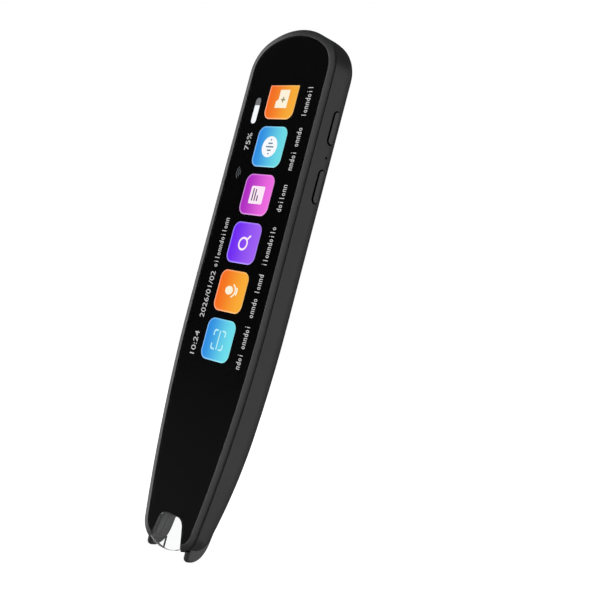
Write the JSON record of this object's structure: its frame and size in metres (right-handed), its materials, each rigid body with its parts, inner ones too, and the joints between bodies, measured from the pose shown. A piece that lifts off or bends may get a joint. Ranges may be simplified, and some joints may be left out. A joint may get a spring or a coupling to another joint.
{
  "type": "handheld translator",
  "caption": "Slim upright scanning pen with a tall touch screen, side keys, a speaker in its back and a clear window between two sprung feet at its tip.",
  "frame": {"origin": "centre of the pen's box at the level of the bottom of the two feet", "axes": "+Z from the tip to the rounded top, +Y towards the back with the speaker, -Y towards the screen, +X towards the side with the keys"},
  "size_m": [0.0349, 0.011, 0.152],
  "materials": {
    "frame_black": "satin moulded black plastic",
    "shell_black": "fine matt soft-feel black plastic",
    "key_black": "satin black plastic",
    "foot_black": "smooth dark grey wear-resistant plastic",
    "grille_black": "fine matt black plastic",
    "cover_glass": "glossy glass, printed black behind",
    "clear_pane": "clear polished plastic",
    "guide_ink": "dark filled line",
    "screen": "lit display",
    "adhesive": "black foam tape",
    "inner_plastic": "black moulded plastic",
    "flex": "amber polyimide film",
    "board_green": "green solder resist",
    "tinned_steel": "bright tinned steel",
    "chip_black": "matt black epoxy",
    "screw_steel": "plain steel",
    "spring_steel": "spring wire",
    "cell_foil": "matt aluminium laminate",
    "magnet_steel": "nickel plate",
    "cone_film": "thin formed film",
    "mesh_cloth": "fine black dust cloth",
    "led_white": "white LED package",
    "lens_glass": "coated glass",
    "stem_white": "white nylon"
  },
  "bodies": {
    "pen": {"front_frame": "frame_black", "rear_shell": "shell_black", "cover_glass": "cover_glass", "glass_adhesive": "adhesive", "display_panel": "screen", "display_backlight": "inner_plastic", "display_flex": "flex", "clear_window": "clear_pane", "guide_line": "guide_ink", "tip_board": "board_green", "trigger_switch": "tinned_steel", "trigger_spring": "spring_steel", "spring_seat": "inner_plastic", "side_key_board": "board_green", "microphone": "tinned_steel", "power_switch": "tinned_steel", "home_switch": "tinned_steel", "speaker_grille": "grille_black", "speaker_mesh": "mesh_cloth", "speaker_gasket": "adhesive", "speaker_basket": "inner_plastic", "speaker_magnet": "magnet_steel", "speaker_cone": "cone_film", "main_board": "board_green", "processor_shield": "tinned_steel", "memory_chip": "chip_black", "wireless_module": "tinned_steel", "antenna": "flex", "board_screws": "screw_steel", "battery": "cell_foil", "battery_pad": "adhesive", "usb_receptacle": "tinned_steel", "usb_tongue": "inner_plastic", "scan_window": "lens_glass", "light_board": "board_green", "scan_leds": "led_white", "optics_bracket": "inner_plastic", "bracket_screws": "screw_steel", "lens_barrel": "inner_plastic", "lens": "lens_glass", "sensor_board": "board_green"},
    "power_key": {"power_key": "key_black", "power_switch_stem": "stem_white"},
    "home_key": {"home_key": "key_black", "home_switch_stem": "stem_white"},
    "trigger": {"left_foot": "foot_black", "right_foot": "foot_black", "trigger_yoke": "inner_plastic", "trigger_stem": "stem_white"}
  },
  "joints": [
    {"name": "power_press", "type": "slide", "parent": "pen", "child": "power_key", "axis": [-1, 0, 0], "range_m": [0, 0.00025], "stiffness_N_per_m": 2500, "springref_m": -0.0001},
    {"name": "home_press", "type": "slide", "parent": "pen", "child": "home_key", "axis": [-1, 0, 0], "range_m": [0, 0.00025], "stiffness_N_per_m": 2500, "springref_m": -0.0001},
    {"name": "trigger_press", "type": "slide", "parent": "pen", "child": "trigger", "axis": [0, 0, 1], "range_m": [0, 0.0008], "stiffness_N_per_m": 600, "springref_m": -0.0005, "deforming": ["trigger_spring"]}
  ]
}
